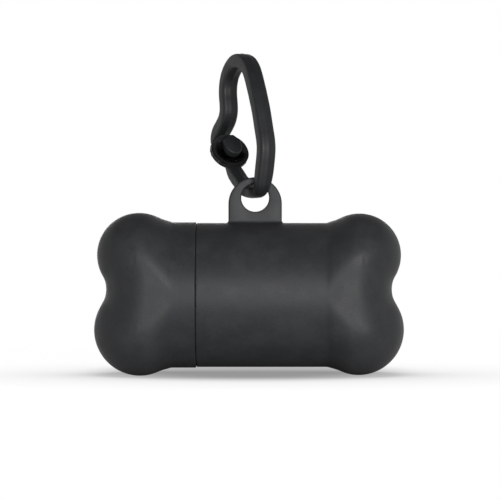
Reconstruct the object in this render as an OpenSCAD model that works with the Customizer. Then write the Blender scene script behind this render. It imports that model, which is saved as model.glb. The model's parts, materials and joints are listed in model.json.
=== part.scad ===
// Bone-shaped dispenser for rolled bags, with a screw cap and a snap-on clip.
// Millimetres. X runs along the bone, Z is up, and the photo looks along +Y.
// The origin is the inner top of the clip's loop, where the object hangs.

/* [Bone] */
// Whole length over the end lobes
bone_l = 85; // [75:0.5:110]
// Twice the upper lobes' reach above the axis
bone_h = 45; // [43:0.5:60]
// Diameter of the round trunk
trunk_d = 39.9; // [38.5:0.1:48]
// Radius of each upper lobe's outline
lobe_r = 11.45; // [10.5:0.05:13]
// Radius of each lower lobe's outline
low_r = 12.5; // [11:0.1:14]
// How far the upper lobes stop short of the lower ones, at each end
top_in = 0.8; // [0:0.05:1.2]
// Slope of the run from the trunk up to a lobe, in degrees
lobe_slope = 24; // [18:1:32]
// Slope of the notch's flanks at each end, in degrees
notch_slope = 28.6; // [22:0.2:32]
// Radius in the bottom of each end's notch
notch_r = 3; // [1:0.1:5]
// Radius that rounds each end off towards the front and back
end_round = 14; // [13:0.1:16]
// Distance before the lobes' runs at which the trunk starts to swell
corner_ease = 3; // [2:0.1:5]
// Length over which the round trunk turns into each flat-sided end
end_ease = 9; // [6:0.5:12]
// How far the cap stands proud of the case all round
cap_proud = 0.2; // [0:0.05:0.4]
// Length of the cap, from its end to the seam
cap_l = 27.9; // [24:0.1:36]
// Gap left in the seam
seam_gap = 0.1; // [0.05:0.01:0.2]
// Chamfer on both edges of the seam
seam_chamfer = 0.25; // [0.1:0.05:0.5]

/* [Shell and thread] */
// Bore that holds the roll
bore_d = 32.4; // [31.5:0.1:34]
// Wall of the threaded neck
neck_wall = 1.4; // [1.2:0.05:2]
// Length of the threaded neck
neck_l = 10; // [8:0.5:14]
// Height of each thread ridge
thread_h = 0.55; // [0.4:0.05:0.9]
// Lead of the thread
thread_lead = 3.3; // [2.8:0.1:5]
// Turns of thread on each half
thread_turns = 2; // [1:0.25:2.5]
// Running gap at the crest of each thread
thread_gap = 0.1; // [0.05:0.01:0.2]
// Wall left outside the hollows of the case's lobes
lobe_wall = 3.9; // [1.6:0.1:4.5]
// Wall left outside the hollows of the cap's lobes
cap_lobe_wall = 1.8; // [1.6:0.1:4]
// Wall left at the bottom of each notch
end_wall = 2.2; // [1.4:0.1:4]
// Distance from the end of the bore to the bottom of the notch
shoulder_in = 9.27; // [8:0.01:14]
// Length of the bag slot at the back
slot_l = 22; // [14:0.5:30]
// Width of the bag slot
slot_w = 5.5; // [4.5:0.1:8]
// Round widening in the middle of the slot
slot_eye_d = 9; // [6:0.1:12]

/* [Tab] */
// Width of the tab
tab_w = 14.8; // [12:0.1:20]
// Thickness of the tab
tab_t = 3; // [2.5:0.1:3.4]
// Height of the tab's top above the bone's axis
tab_top = 32.6; // [30:0.1:40]
// Distance of the tab from the bone's middle, towards the long half
tab_x = 1.6; // [-5:0.1:12]
// Diameter of the eye
eye_d = 7.7; // [7.5:0.1:9]
// Depth of the eye's centre below the tab's top
eye_drop = 5.7; // [5.6:0.1:7]

/* [Clip] */
// Thickness of the loop, in the plane of the loop
clip_t = 4; // [3:0.1:4.2]
// Width of the loop, across the plane of the loop
clip_w = 4.6; // [3.6:0.1:5]
// Thickness of the loop where it lies in the eye
eye_t = 2.9; // [2.4:0.1:3]
// Width of the loop where it lies in the eye
eye_w = 3.4; // [3:0.1:3.6]
// Gap between the loop and the top of the eye
eye_gap = 0.95; // [0.7:0.05:1.2]
// Turn of the loop's plane away from square to the tab, in degrees
clip_turn = 24; // [15:1:32]
// Outer diameter of the snap ring
ring_d = 10.8; // [10:0.1:12]
// Bore of the snap ring
ring_bore = 7.7; // [7.6:0.05:8.2]
// Thickness of the snap ring
ring_t = 1.8; // [1.2:0.1:2.2]
// Lean of the snap ring's axis above level, in degrees
ring_lean = 35; // [33:0.5:37]
// Diameter of the knob's stem
stem_d = 3.4; // [2.6:0.1:4]
// Width of the knob's head
head_w = 5; // [4:0.1:5.2]
// Depth of the knob's head along its stem
head_t = 2.4; // [1.6:0.1:2.6]
// Reach of the head above the stem's axis
head_up = 3.45; // [3:0.05:3.5]
// Reach of the head below the stem's axis
head_down = 3.1; // [2.8:0.05:3.15]
// Play between the ring and the head
ring_play = 0.35; // [0.2:0.05:0.5]
// Thickness of the ring arm
arm_t = 3.4; // [2.6:0.1:3.6]
// Radius of the rounded knuckle where the arm bends
knuckle_r = 1.8; // [1.75:0.05:2]
// Gap round the knuckle
knuckle_gap = 0.1; // [0.05:0.01:0.2]
// How far the arm bends open, in degrees
arm_opens = 55; // [30:1:58]

/* [Roll] */
// Diameter of a full roll of bags
roll_d = 29.6; // [26:0.1:30.5]
// Room left along the roll, at both ends together
roll_room = 1.4; // [1:0.1:4]
// Distance of the roll's middle from the bone's middle
roll_x = 0.4; // [-0.3:0.1:0.4]
// Outer diameter of the card tube
core_d = 14; // [13:0.1:16]
// Wall of the card tube
core_wall = 1; // [0.6:0.05:1.4]
// Running gap between the card tube and what it turns on
core_gap = 0.1; // [0.05:0.01:0.1]
// How far the case's spigot reaches into the card tube
spigot_in = 7; // [4:0.5:12]
// How far the stub reaches into the card tube
stub_in = 15; // [12:0.5:20]
// Wall of the hollow stub
stub_wall = 1.6; // [1.2:0.1:2.4]
// Diameter of the stub's journal
journal_d = 5; // [4:0.1:6]
// Diameter of the bulb that keeps the journal in the cap
bulb_d = 6; // [5.5:0.1:7]
// Wall of the cap's boss round the journal
boss_wall = 1.4; // [1:0.1:2]
// Gap between the stub's shoulder and the cap's boss
stub_gap = 0.15; // [0.1:0.01:0.3]

/* [Hidden] */
$fn = 96;
trunk_r = trunk_d / 2;
half_l = bone_l / 2;
lobe_c = [half_l - lobe_r, bone_h / 2 - lobe_r];
seam_x = cap_l - half_l;
bore_r = bore_d / 2;
neck_r = bore_r + neck_wall;
crest_r = neck_r + thread_h;
cap_bore_r = crest_r + thread_gap;
// The outline leaves each lobe's circle on two straight runs, square to these directions.
up_a = 90 + lobe_slope;
up_n = [cos(up_a), sin(up_a)];
down_a = -notch_slope;
down_n = [cos(down_a), sin(down_a)];
// A lower lobe's circle touches the same run from the trunk as an upper one's.
low_x = half_l - low_r;
low_c = [low_x, (lobe_c * up_n + lobe_r - low_r - low_x * up_n[0]) / up_n[1]];
up_p = lobe_c + lobe_r * up_n;
down_p = lobe_c + lobe_r * down_n;
// The flanks meet the axis at flank_x, and the trunk meets a lobe's run at corner_x.
notch_v = flank_x(lobe_c, lobe_r);
notch_x = (notch_v - top_in + flank_x(low_c, low_r)) / 2 + notch_r * (1 / cos(notch_slope) - 1);
corner_x = up_p[0] - (up_p[1] - trunk_r) / tan(lobe_slope);
fan_x = corner_x - corner_ease;
plain_r = trunk_r - 0.03;
end_flat = trunk_r - end_round;
shoulder_x = notch_x - shoulder_in;
pocket_x = notch_x - end_wall;
roll_l = 2 * shoulder_x - roll_room;
eye_z = tab_top - eye_drop;
eye_r = eye_d / 2;
// Middle of the loop where it lies in the eye.
strap_z = eye_z + eye_r - eye_gap - eye_t / 2;
// Directions in the clip: out along the ring's axis, and up along the ring's face.
ring_e = [cos(ring_lean), sin(ring_lean)];
ring_f = [-sin(ring_lean), cos(ring_lean)];
ring_c = [-17.8, 11.9];
hinge_p = [-9, 2.9];
arm_dir = 155;
// Route of the loop from the hinge, through the eye, over the top and down to the knob.
loop_pts = [
    hinge_p, [-7.2, 1.9], [-5, 0.7], [-2.8, 0.05], [-1.2, 0], [0.6, 0], [2, 0.05],
    [3.5, 0.6], [4.8, 2.2], [5.6, 4.2], [6.2, 6.1], [6.7, 8], [7.2, 10.1], [7.4, 12.3],
    [7, 14.5], [6.2, 16.7], [5.4, 18.9], [4.6, 21.1], [3.65, 23.4], [2.55, 25.6],
    [1.45, 27.8], [0.2, 30], [-1.1, 32.2], [-2.6, 34.2], [-4.8, 35.9], [-7.4, 36.8],
    [-10, 37.1], [-12.7, 36.7], [-15.2, 35.4], [-17.1, 33.8], [-18.2, 32], [-18.8, 30],
    [-18.8, 27.8], [-18.4, 25.6], [-18.3, 23.4], [-19.2, 21.4], [-20.7, 20], [-22.2, 18.9],
    [-23.7, 17.8], [-24.7, 16.3], [-24.7, 14.5], [-23.4, 12.6], [-21.7, 10.9], [-20.3, 9.4]
];
// Route of the arm from the hinge to the foot of the ring.
arm_pts = [hinge_p, [-10.4, 3.6], [-11.8, 4.5], [-13.1, 5.4], [-14.4, 6.5], [-15.4, 7.6], [-16, 8.5]];
top_pt = [-10, 37.1];
hang_u = top_pt[0];
hang_z = top_pt[1] - clip_t / 2;
mount = place(hang_u, 0, hang_z);

// A point of the clip: u along the loop's plane, s across it, z up from the eye.
function place(u, s, z) = [
    tab_x + u * sin(clip_turn) + s * cos(clip_turn),
    -u * cos(clip_turn) + s * sin(clip_turn),
    strap_z + z
];

function blend(t) = let(c = min(1, max(0, t))) c * c * (3 - 2 * c);

// Smaller of two distances, with a rounding of radius r where they meet.
function join(a, b, r) = max(r, min(a, b)) - norm([max(r - a, 0), max(r - b, 0)]);

// Smaller of two distances, eased where they differ by less than k.
function soft(a, b, k) = min(a, b) - (k > 0 ? pow(max(0, k - abs(a - b)), 2) / (4 * k) : 0);

// Where the notch's flank of a lobe would meet the axis.
function flank_x(c, r) = c[0] + r * down_n[0] + (c[1] + r * down_n[1]) * down_n[1] / down_n[0];

// Distance from a lobe's circle and one of its straight runs, at the end where x > 0.
function lobe(q, c, r, n, turn) = let(d = q - c - r * n)
    turn * (d[0] * n[1] - d[1] * n[0]) > 0 ? d * n : norm(q - c) - r;

// How far a point lies outside one end of the bone.
function field(x, y, z) = let(
    az = abs(z),
    top = [x + top_in, z],
    side_r = trunk_r - (trunk_r - end_round) * blend((x - fan_x) / end_ease),
    run = z > 0 ? lobe(top, lobe_c, lobe_r, up_n, -1) : lobe([x, az], low_c, low_r, up_n, -1),
    swell = (1.2 + 0.35 * max(0, trunk_r - az)) * blend((x - fan_x) / corner_ease),
    a = soft(az - trunk_r, run, swell) + side_r,
    b = join(lobe(top, lobe_c, lobe_r, down_n, 1), lobe([x, -z], low_c, low_r, down_n, 1), notch_r) + end_round,
    u = max(0, -soft(-a, -b, 3 * max(0, 1 - max(a, b) / side_r)))
) norm([u, max(0, abs(y) - trunk_r + side_r)]) - side_r;

// Distance along a ray from the fan's centre to the surface, by halving.
function reach(dx, dy, dz, lo, hi, n) = let(m = (lo + hi) / 2)
    n == 0 ? m
    : field(fan_x + m * dx, m * dy, m * dz) > 0 ? reach(dx, dy, dz, lo, m, n - 1)
    : reach(dx, dy, dz, m, hi, n - 1);

// Points down the outline from the trunk to the notch, which set the rays' slopes.
function rows() = concat(
    [for (i = [0:3]) [fan_x + (corner_ease + 0.4) * i / 3, trunk_r]],
    [for (i = [1:2]) up_p + (1 - i / 2.5) * ([corner_x, trunk_r] - up_p)],
    [for (i = [0:13]) let(a = up_a + (down_a - up_a) * i / 13) lobe_c + lobe_r * [cos(a), sin(a)]],
    [for (i = [1:4]) down_p + i / 5 * ([notch_v, 0] - down_p)]
);

// One end of the bone, from the fan's centre outwards, with the pole in the notch.
module bone_end(grow) {
    sides = 64;
    line = rows();
    ring = len(line);
    pts = concat(
        [for (p = line) let(a = atan2(p[1], p[0] - fan_x)) for (j = [0:sides - 1]) let(
            f = 360 * j / sides,
            d = [cos(a), sin(a) * sin(f), sin(a) * cos(f)],
            r = min(reach(d[0], d[1], d[2], 5, 34, 16), a > 89.9 ? plain_r : 99) + grow
        ) [fan_x + r * d[0], r * d[1], r * d[2]]],
        [[fan_x + reach(1, 0, 0, 5, 34, 16) + grow, 0, 0], [fan_x, 0, 0]]
    );
    faces = concat(
        [for (i = [0:ring - 2]) for (j = [0:sides - 1]) let(k = (j + 1) % sides)
            [i * sides + j, i * sides + k, (i + 1) * sides + k]],
        [for (i = [0:ring - 2]) for (j = [0:sides - 1]) let(k = (j + 1) % sides)
            [i * sides + j, (i + 1) * sides + k, (i + 1) * sides + j]],
        [for (j = [0:sides - 1]) let(k = (j + 1) % sides)
            [(ring - 1) * sides + j, (ring - 1) * sides + k, ring * sides]],
        [for (j = [0:sides - 1]) let(k = (j + 1) % sides) [k, j, ring * sides + 1]]
    );
    polyhedron(pts, faces, convexity = 6);
}

// A round bar along X between two places.
module bar_x(x0, x1, r) {
    translate([x0, 0, 0])
        rotate([0, 90, 0])
            cylinder(h = x1 - x0, r = r);
}

// Hollow of one end: two lobe pockets and the pocket behind the notch.
module end_hollow(wall) {
    for (pocket = [[lobe_c[0] - top_in, lobe_c[1], lobe_r], [low_c[0], -low_c[1], low_r]])
        translate([pocket[0], 0, pocket[1]])
            rotate([90, 0, 0])
                cylinder(h = 2 * (lobe_r - wall), r = pocket[2] - wall, center = true);
    translate([shoulder_x - 1, -end_flat, -lobe_c[1] / 2])
        cube([pocket_x - shoulder_x + 1, 2 * end_flat, lobe_c[1]]);
}

// A helical ridge round X, rooted a little inside the wall it stands on.
module ridge(x0, root_r, tip_r, turns) {
    steps = 36;
    count = round(turns * steps);
    base_w = 1.5;
    tip_w = 0.7;
    edge_r = tip_r > root_r ? tip_r : tip_r / cos(180 / steps);
    sec = [[-base_w / 2, root_r], [base_w / 2, root_r], [tip_w / 2, edge_r], [-tip_w / 2, edge_r]];
    pts = [for (i = [0:count]) for (p = sec) let(
        f = 360 * i / steps,
        e = min(1, min(i, count - i) / 5),
        r = root_r + (p[1] - root_r) * (0.35 + 0.65 * e)
    ) [x0 + thread_lead * i / steps + p[0], r * cos(f), r * sin(f)]];
    faces = concat(
        [for (i = [0:count - 1]) for (j = [0:3]) let(k = (j + 1) % 4) [4 * i + j, 4 * i + k, 4 * i + 4 + k]],
        [for (i = [0:count - 1]) for (j = [0:3]) let(k = (j + 1) % 4) [4 * i + j, 4 * i + 4 + k, 4 * i + 4 + j]],
        [[3, 2, 1, 0], [4 * count, 4 * count + 1, 4 * count + 2, 4 * count + 3]]
    );
    if (tip_r > root_r)
        polyhedron(pts, [for (f = faces) [for (i = [len(f) - 1:-1:0]) f[i]]], convexity = 8);
    else
        polyhedron(pts, faces, convexity = 8);
}

// A bar swept along points of the clip's plane, with a rounded rectangular section.
module sweep(line, sizes) {
    n = len(line);
    tang = [for (i = [0:n - 1]) let(d = line[min(n - 1, i + 1)] - line[max(0, i - 1)]) d / norm(d)];
    side = 12;
    pts = [for (i = [0:n - 1]) let(
        t = sizes[i][0] / 2,
        w = sizes[i][1] / 2,
        r = min(t, w) * 0.5
    ) for (q = [0:3]) for (m = [0:2]) let(
        a = 45 + 90 * q + 45 * (m - 1),
        cx = (q == 0 || q == 3 ? 1 : -1) * (t - r) + r * cos(a),
        cy = (q < 2 ? 1 : -1) * (w - r) + r * sin(a),
        p = line[i] + cx * [-tang[i][1], tang[i][0]]
    ) place(p[0], cy, p[1])];
    faces = concat(
        [for (i = [0:n - 2]) for (j = [0:side - 1]) let(k = (j + 1) % side) [i * side + j, i * side + k, (i + 1) * side + k]],
        [for (i = [0:n - 2]) for (j = [0:side - 1]) let(k = (j + 1) % side) [i * side + j, (i + 1) * side + k, (i + 1) * side + j]],
        [[for (j = [side - 1:-1:0]) j], [for (j = [0:side - 1]) (n - 1) * side + j]]
    );
    polyhedron(pts, faces, convexity = 8);
}

// Turns a piece whose own Z is the ring's axis and Y the ring's face into the clip.
module at_ring(e) {
    p = ring_c + e * ring_e;
    x = place(0, 1, 0) - place(0, 0, 0);
    y = place(ring_f[0], 0, ring_f[1]) - place(0, 0, 0);
    z = place(ring_e[0], 0, ring_e[1]) - place(0, 0, 0);
    o = place(p[0], 0, p[1]);
    multmatrix([
        [x[0], y[0], z[0], o[0]],
        [x[1], y[1], z[1], o[1]],
        [x[2], y[2], z[2], o[2]]
    ])
        children();
}

// A round bar across the clip's plane at the hinge.
module across(r, w) {
    translate(place(hinge_p[0], 0, hinge_p[1]))
        rotate([0, 0, clip_turn])
            rotate([0, 90, 0])
                cylinder(h = w, r = r, center = true);
}

module case_body() {
    color("#2a2b2d")
        translate(-mount)
            difference() {
                union() {
                    difference() {
                        bar_x(seam_x, fan_x + 0.4, trunk_r);
                        translate([seam_x, 0, 0])
                            rotate([0, 90, 0])
                                difference() {
                                    translate([0, 0, -1])
                                        cylinder(h = seam_chamfer + 1, r = trunk_r + 1);
                                    translate([0, 0, -1])
                                        cylinder(h = seam_chamfer + 1, r1 = trunk_r - seam_chamfer - 1, r2 = trunk_r);
                                }
                    }
                    bar_x(seam_x - neck_l, seam_x + 1, neck_r);
                    ridge(seam_x - neck_l + 2.2, neck_r - 0.3, crest_r, thread_turns);
                    bone_end(0);
                    translate([tab_x, tab_t / 2, 0])
                        rotate([90, 0, 0])
                            linear_extrude(tab_t)
                                union() {
                                    translate([0, tab_top - tab_w / 2])
                                        circle(r = tab_w / 2);
                                    translate([-tab_w / 2, trunk_r - 1.8])
                                        square([tab_w, tab_top - tab_w / 2 - trunk_r + 1.8]);
                                }
                }
                bar_x(seam_x - neck_l - 1, shoulder_x, bore_r);
                difference() {
                    end_hollow(lobe_wall);
                    bar_x(shoulder_x - 2, pocket_x + 1, core_d / 2 - core_wall - core_gap);
                }
                translate([tab_x, 0, eye_z])
                    rotate([90, 0, 0])
                        cylinder(h = tab_t + 2, r = eye_r, center = true);
                slot();
            }
    color("#2a2b2d")
        translate(-mount)
            bar_x(roll_x + roll_l / 2 - spigot_in, shoulder_x + 1, core_d / 2 - core_wall - core_gap);
}

// The slot that the bags are pulled through, at the back.
module slot() {
    mid = (seam_x + corner_x) / 2;
    for (side = [-1, 1])
        translate([mid + side * (slot_l - slot_w) / 2, bore_r + 3, 0])
            rotate([90, 0, 0])
                cylinder(h = 2 * 6, d = slot_w, center = true);
    translate([mid, bore_r + 3, 0])
        cube([slot_l - slot_w, 12, slot_w], center = true);
    translate([mid, bore_r + 3, 0])
        rotate([90, 0, 0])
            cylinder(h = 12, d = slot_eye_d, center = true);
}

module cap_shell() {
    boss_r = bulb_d / 2 + core_gap + boss_wall;
    boss_x = stub_x() - stub_gap;
    cap_r = trunk_r + cap_proud;
    color("#2a2b2d")
        translate(-mount)
            difference() {
                union() {
                    difference() {
                        bar_x(-fan_x - 0.4, seam_x - seam_gap, cap_r);
                        translate([seam_x - seam_gap, 0, 0])
                            rotate([0, -90, 0])
                                difference() {
                                    translate([0, 0, -1])
                                        cylinder(h = seam_chamfer + 1, r = cap_r + 1);
                                    translate([0, 0, -1])
                                        cylinder(h = seam_chamfer + 1, r1 = cap_r - seam_chamfer - 1, r2 = cap_r);
                                }
                    }
                    mirror([1, 0, 0])
                        bone_end(cap_proud);
                }
                bar_x(seam_x - neck_l - 0.4, seam_x + 1, cap_bore_r);
                bar_x(-shoulder_x, seam_x - 1, bore_r);
                mirror([1, 0, 0])
                    difference() {
                        end_hollow(cap_lobe_wall);
                        bar_x(-boss_x, pocket_x + 1, boss_r);
                    }
                bar_x(boss_x - 2.4, boss_x + 1, journal_d / 2 + core_gap);
                bar_x(boss_x - 5, boss_x - 2.4 + 0.01, bulb_d / 2 + core_gap);
            }
    color("#2a2b2d")
        translate(-mount)
            ridge(seam_x - neck_l + 2.2 - thread_lead / 2, cap_bore_r + 0.3, neck_r + thread_gap, thread_turns);
}

// Place of the stub's shoulder, just clear of the cap's boss.
function stub_x() = stub_gap - shoulder_x;

module roll_stub() {
    x = stub_x();
    hub_r = core_d / 2 - core_wall - core_gap;
    color("#6b6e72")
        translate(-mount) {
            difference() {
                bar_x(x, roll_x - roll_l / 2 + stub_in, hub_r);
                bar_x(x + 2, roll_x - roll_l / 2 + stub_in + 1, hub_r - stub_wall);
            }
            bar_x(x - stub_gap - 2.5, x + 1, journal_d / 2);
            bar_x(x - stub_gap - 4.8, x - stub_gap - 2.5, bulb_d / 2);
        }
}

module roll_core() {
    color("#b08a5b")
        translate(-mount)
            difference() {
                bar_x(roll_x - roll_l / 2, roll_x + roll_l / 2, core_d / 2);
                bar_x(roll_x - roll_l / 2 - 1, roll_x + roll_l / 2 + 1, core_d / 2 - core_wall);
            }
}

module bag_roll() {
    color("#3d7f5a")
        translate(-mount)
            difference() {
                bar_x(roll_x - roll_l / 2, roll_x + roll_l / 2, roll_d / 2);
                bar_x(roll_x - roll_l / 2 - 1, roll_x + roll_l / 2 + 1, core_d / 2 + 0.05);
            }
}

module clip_strap() {
    n = len(loop_pts);
    sizes = [for (i = [0:n - 1]) let(
        u = loop_pts[i][0],
        z = loop_pts[i][1],
        g = blend((abs(u) - 2.4) / 4),
        e = i > 5 ? 1 : 0.45,
        k = blend((n - 1 - i) / 4)
    ) z > 9 ? [clip_t - (1 - k) * 1, clip_w - (1 - k) * 0.6]
            : [eye_t + (clip_t - eye_t) * g * e, eye_w + (clip_w - eye_w) * g]];
    color("#242527")
        translate(-mount)
            union() {
                sweep(loop_pts, sizes);
                across(knuckle_r, clip_w - 0.6);
                at_ring(-4.2)
                    cylinder(h = 4.2 + ring_t / 2 + ring_play + 0.5, d = stem_d);
                at_ring(ring_t / 2 + ring_play)
                    linear_extrude(head_t)
                        polygon(concat(
                            [[head_w / 2, head_up - 1.05], [1.7, head_up - 0.25], [1.2, head_up],
                            [-1.2, head_up], [-1.7, head_up - 0.25], [-head_w / 2, head_up - 1.05]],
                            [for (i = [0:10]) let(a = 180 + 18 * i)
                                [head_w / 2 * cos(a), -(head_down - head_w / 2) + head_w / 2 * sin(a)]]
                        ));
            }
}

module clip_ring_arm() {
    n = len(arm_pts);
    sizes = [for (i = [0:n - 1]) let(k = blend((i - 3) / 3)) [arm_t - (arm_t - ring_t - 0.3) * k, clip_w - 0.2]];
    notch_dir = arm_dir - (90 - arm_opens - 5);
    color("#242527")
        translate(-mount)
            difference() {
                union() {
                    sweep(arm_pts, sizes);
                    at_ring(-ring_t / 2)
                        cylinder(h = ring_t, d = ring_d);
                }
                at_ring(-2 * ring_t)
                    cylinder(h = 4 * ring_t, d = ring_bore);
                across(knuckle_r + knuckle_gap, clip_w + 2);
                translate(place(hinge_p[0], 0, hinge_p[1]))
                    rotate([0, 0, clip_turn])
                        rotate([180 - notch_dir, 0, 0])
                            translate([-clip_w, 0, 0])
                                cube([2 * clip_w, 8, 8]);
            }
}

case_body();
cap_shell();
clip_strap();
clip_ring_arm();
roll_stub();
roll_core();
bag_roll();
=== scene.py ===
"""Dresses the bone-shaped bag dispenser: shells, tab, clip, bag roll, finishes and studio."""

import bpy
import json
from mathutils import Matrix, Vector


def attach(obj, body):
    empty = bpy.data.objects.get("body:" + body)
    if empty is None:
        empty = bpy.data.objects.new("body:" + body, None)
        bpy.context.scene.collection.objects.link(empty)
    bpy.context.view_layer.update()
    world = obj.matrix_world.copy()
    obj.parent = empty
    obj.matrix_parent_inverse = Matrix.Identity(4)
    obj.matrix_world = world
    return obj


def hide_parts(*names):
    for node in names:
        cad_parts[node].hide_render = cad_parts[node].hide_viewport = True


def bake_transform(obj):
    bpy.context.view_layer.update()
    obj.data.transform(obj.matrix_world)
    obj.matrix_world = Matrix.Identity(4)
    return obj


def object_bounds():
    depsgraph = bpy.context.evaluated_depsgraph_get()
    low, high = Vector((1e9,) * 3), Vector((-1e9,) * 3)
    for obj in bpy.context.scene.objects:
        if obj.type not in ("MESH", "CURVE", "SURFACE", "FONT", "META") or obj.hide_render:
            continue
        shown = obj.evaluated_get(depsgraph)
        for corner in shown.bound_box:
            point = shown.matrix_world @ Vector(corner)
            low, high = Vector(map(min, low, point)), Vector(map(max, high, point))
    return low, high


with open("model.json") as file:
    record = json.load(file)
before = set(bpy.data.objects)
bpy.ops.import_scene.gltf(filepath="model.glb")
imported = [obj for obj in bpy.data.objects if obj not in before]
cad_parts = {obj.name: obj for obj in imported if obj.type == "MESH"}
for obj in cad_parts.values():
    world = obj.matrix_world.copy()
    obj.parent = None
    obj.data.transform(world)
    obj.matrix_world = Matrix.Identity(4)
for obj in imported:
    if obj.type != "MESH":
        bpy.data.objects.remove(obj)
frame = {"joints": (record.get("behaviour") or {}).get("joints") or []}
CAD_BOX = [list(corner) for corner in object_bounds()]

import json
import math

import bpy
import numpy as np
from mathutils import Matrix, Vector

bl_info = {
    "name": "Bone Bag Dispenser",
    "version": (1, 0, 0),
    "blender": (4, 5, 0),
    "location": "View3D > Sidebar > Bag Dispenser",
    "description": "Dresses a bone-shaped dispenser for rolled bags on its CAD frame",
    "category": "Object",
}

MM = 0.001
JOINTS = {joint["name"]: joint for joint in frame["joints"]}
# The bone's own axis in the row frame, and the directions of the clip's plane, from the joints.
BONE_AT = np.array(JOINTS["roll_spin"]["pos_m"]) / MM
HINGE_AT = np.array(JOINTS["clip_snap"]["pos_m"]) / MM
CLIP_SIDE = np.array(JOINTS["clip_snap"]["axis"])
CLIP_OUT = np.array([CLIP_SIDE[1], -CLIP_SIDE[0], 0.0])


# Sizes and colours

def length(name, text, mm):
    return bpy.props.FloatProperty(name=name, description=text, default=mm * MM, unit="LENGTH", precision=5)


def colour(name, text, hexes):
    return bpy.props.StringProperty(name=name, description=text, default=hexes)


class BoneSizes(bpy.types.PropertyGroup):
    whole_length: length("Length", "Length over the end lobes", 85)
    whole_height: length("Height", "Twice the upper lobes' reach above the axis", 45)
    trunk_radius: length("Trunk radius", "Radius of the round trunk", 19.95)
    lobe_radius: length("Upper lobe radius", "Radius of each upper lobe's outline", 11.45)
    low_radius: length("Lower lobe radius", "Radius of each lower lobe's outline", 12.5)
    top_in: length("Upper lobes short", "How far the upper lobes stop short of the lower ones", 0.8)
    end_round: length("End rounding", "Radius that rounds each end off to the front and back", 14)
    corner_ease: length("Corner easing", "Distance before the lobes' runs where the swell starts", 3)
    end_ease: length("End easing", "Length over which the round trunk turns into each end", 9)
    cap_length: length("Cap length", "Length of the cap, from its end to the seam", 27.9)
    cap_proud: length("Cap step", "How far the cap stands proud of the case", 0.2)
    seam_gap: length("Seam gap", "Gap left in the seam", 0.1)
    seam_round: length("Seam rounding", "Radius of both edges of the seam", 0.3)
    bore_radius: length("Bore radius", "Radius of the bore that holds the roll", 16.2)
    neck_radius: length("Neck radius", "Radius of the threaded neck", 17.6)
    neck_length: length("Neck length", "Length of the threaded neck", 10)
    thread_height: length("Thread height", "Height of each thread ridge", 0.55)
    thread_lead: length("Thread lead", "Travel of the cap in one turn", 3.3)
    shoulder_in: length("Shoulder", "Distance of the bore's end from the notch", 9.27)
    hub_radius: length("Hub radius", "Radius of what the card tube turns on", 5.9)
    sink_depth: length("Sink depth", "Depth of the faint sink marks over the cap's thread", 0.012)
    slot_length: length("Slot length", "Length of the bag slot", 22)
    slot_width: length("Slot width", "Width of the bag slot", 5.5)
    slot_eye: length("Slot eye", "Radius of the slot's round middle", 4.5)


class TabSizes(bpy.types.PropertyGroup):
    width: length("Width", "Width of the tab", 14.8)
    thickness: length("Thickness", "Thickness of the tab", 3)
    top: length("Top", "Height of the tab's top above the bone's axis", 32.6)
    along: length("Along", "Distance of the tab from the bone's middle", 1.6)
    eye_radius: length("Eye radius", "Radius of the eye", 3.85)
    eye_drop: length("Eye drop", "Depth of the eye's centre below the top", 5.7)
    edge: length("Edge", "Rounding of the tab's edges", 0.45)
    fillet: length("Fillet", "Fillet at the tab's foot", 0.8)


class ClipSizes(bpy.types.PropertyGroup):
    thickness: length("Thickness", "Thickness of the loop in its own plane", 4)
    width: length("Width", "Width of the loop across its plane", 4.6)
    eye_thickness: length("Thickness in the eye", "Thickness of the loop where it lies in the eye", 2.9)
    eye_width: length("Width in the eye", "Width of the loop where it lies in the eye", 3.4)
    corner: length("Corner", "Rounding of the loop's corners", 0.95)
    parting: length("Parting line", "Height of the moulding's parting line", 0.09)
    ring_radius: length("Ring radius", "Outer radius of the snap ring", 5.4)
    ring_bore: length("Ring bore", "Radius of the snap ring's hole", 3.85)
    ring_thickness: length("Ring thickness", "Thickness of the snap ring", 1.8)
    ring_play: length("Ring play", "Play between the ring and the knob's head", 0.35)
    stem_radius: length("Stem radius", "Radius of the knob's stem", 1.7)
    head_width: length("Head width", "Width of the knob's head", 5)
    head_depth: length("Head depth", "Depth of the knob's head along its stem", 2.4)
    head_up: length("Head above", "Reach of the head above the stem's axis", 3.45)
    head_down: length("Head below", "Reach of the head below the stem's axis", 3.1)
    arm_thickness: length("Arm thickness", "Thickness of the ring's arm", 3.4)


class RollSizes(bpy.types.PropertyGroup):
    radius: length("Radius", "Radius of a full roll of bags", 14.8)
    room: length("Room", "Room left along the roll, at both ends together", 1.4)
    offset: length("Offset", "Distance of the roll's middle from the bone's middle", 0.4)
    core_radius: length("Core radius", "Outer radius of the card tube", 7)
    core_wall: length("Core wall", "Wall of the card tube", 1)
    spigot_in: length("Spigot", "How far the case's spigot reaches into the tube", 7)
    stub_in: length("Stub", "How far the stub reaches into the tube", 15)
    stub_gap: length("Stub gap", "Gap between the stub's shoulder and the boss", 0.15)
    journal_radius: length("Journal radius", "Radius of the stub's journal", 2.5)
    bulb_radius: length("Bulb radius", "Radius of the bulb behind the journal", 3)


class Finishes(bpy.types.PropertyGroup):
    shell: colour("Shell", "Black polypropylene of the bone", "#292a2b")
    shell_worn: colour("Shell, worn", "Where handling has greyed the shell", "#303132")
    clip: colour("Clip", "Black polypropylene of the clip", "#1c1d1e")
    clip_worn: colour("Clip, worn", "Where handling has greyed the clip", "#222324")
    card: colour("Card", "Brown card of the tube", "#a5825a")
    card_fibre: colour("Card fibre", "Darker fibres of the card", "#7d5f3e")
    film: colour("Film", "Green film of the bags", "#3f8a5b")
    film_deep: colour("Film, deep", "Film seen through more layers", "#2b6a43")
    stub: colour("Stub", "Grey plastic of the stub", "#7b7e82")
    floor: colour("Floor", "Pale floor and backdrop", "#ffffff")


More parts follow.
